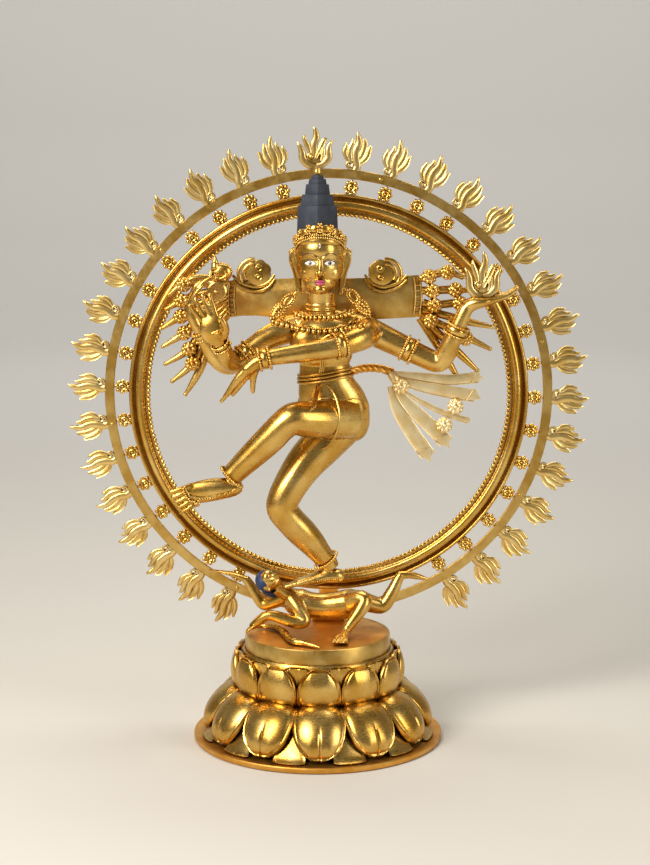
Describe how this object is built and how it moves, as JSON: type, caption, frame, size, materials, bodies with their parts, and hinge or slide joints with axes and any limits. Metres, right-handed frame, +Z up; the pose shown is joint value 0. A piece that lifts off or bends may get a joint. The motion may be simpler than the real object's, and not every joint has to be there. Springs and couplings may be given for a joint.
{
  "type": "nataraja statue",
  "caption": "Gilded brass statue of a many-armed dancer inside a ring of flames, standing on a lying dwarf and a round double-lotus base, for display on a shelf or altar.",
  "frame": {"origin": "middle of the round base's flat underside, at floor level", "axes": "+Z up; the figure faces -Y; +X is to the right as seen by somebody facing the statue"},
  "size_m": [0.4867, 0.23, 0.56],
  "materials": {
    "gilded_body": "satin hand-burnished gilding over cast brass, deeper orange gold in the recesses",
    "pale_gilding": "matte pale gilding with burnished edges",
    "deep_gilding": "darker orange matte gilding",
    "dark_hair_paint": "matte slate-blue paint over the cast brass hair tiers",
    "blue_hair_paint": "matte navy paint over cast brass curls"
  },
  "bodies": {
    "root": {"base_closing_plate": "deep_gilding", "lotus_lower": "gilded_body", "lotus_upper": "gilded_body", "platform_drum": "deep_gilding", "dwarf_body": "gilded_body", "dwarf_hair": "blue_hair_paint", "snake": "gilded_body", "halo_outer_band": "gilded_body", "halo_moulding": "gilded_body", "halo_bead_ring": "gilded_body", "halo_foot": "deep_gilding", "flame_top": "pale_gilding", "flame_right_01": "pale_gilding", "flame_right_02": "pale_gilding", "flame_right_03": "pale_gilding", "flame_right_04": "pale_gilding", "flame_right_05": "pale_gilding", "flame_right_06": "pale_gilding", "flame_right_07": "pale_gilding", "flame_right_08": "pale_gilding", "flame_right_09": "pale_gilding", "flame_right_10": "pale_gilding", "flame_right_11": "pale_gilding", "flame_right_12": "pale_gilding", "flame_right_13": "pale_gilding", "flame_right_14": "pale_gilding", "flame_right_15": "pale_gilding", "flame_right_16": "pale_gilding", "flame_left_01": "pale_gilding", "flame_left_02": "pale_gilding", "flame_left_03": "pale_gilding", "flame_left_04": "pale_gilding", "flame_left_05": "pale_gilding", "flame_left_06": "pale_gilding", "flame_left_07": "pale_gilding", "flame_left_08": "pale_gilding", "flame_left_09": "pale_gilding", "flame_left_10": "pale_gilding", "flame_left_11": "pale_gilding", "flame_left_12": "pale_gilding", "flame_left_13": "pale_gilding", "flame_left_14": "pale_gilding", "flame_left_15": "pale_gilding", "flame_left_16": "pale_gilding", "torso": "gilded_body", "head": "gilded_body", "tiara": "gilded_body", "hair_spire": "dark_hair_paint", "spire_finial": "gilded_body", "front_right_arm": "gilded_body", "front_left_arm": "gilded_body", "back_right_arm": "gilded_body", "back_left_arm": "gilded_body", "raised_leg": "gilded_body", "standing_leg": "gilded_body", "hair_panel": "gilded_body", "waist_sash": "pale_gilding", "hand_flame": "pale_gilding", "hand_drum": "gilded_body", "necklace": "gilded_body"}
  },
  "joints": []
}
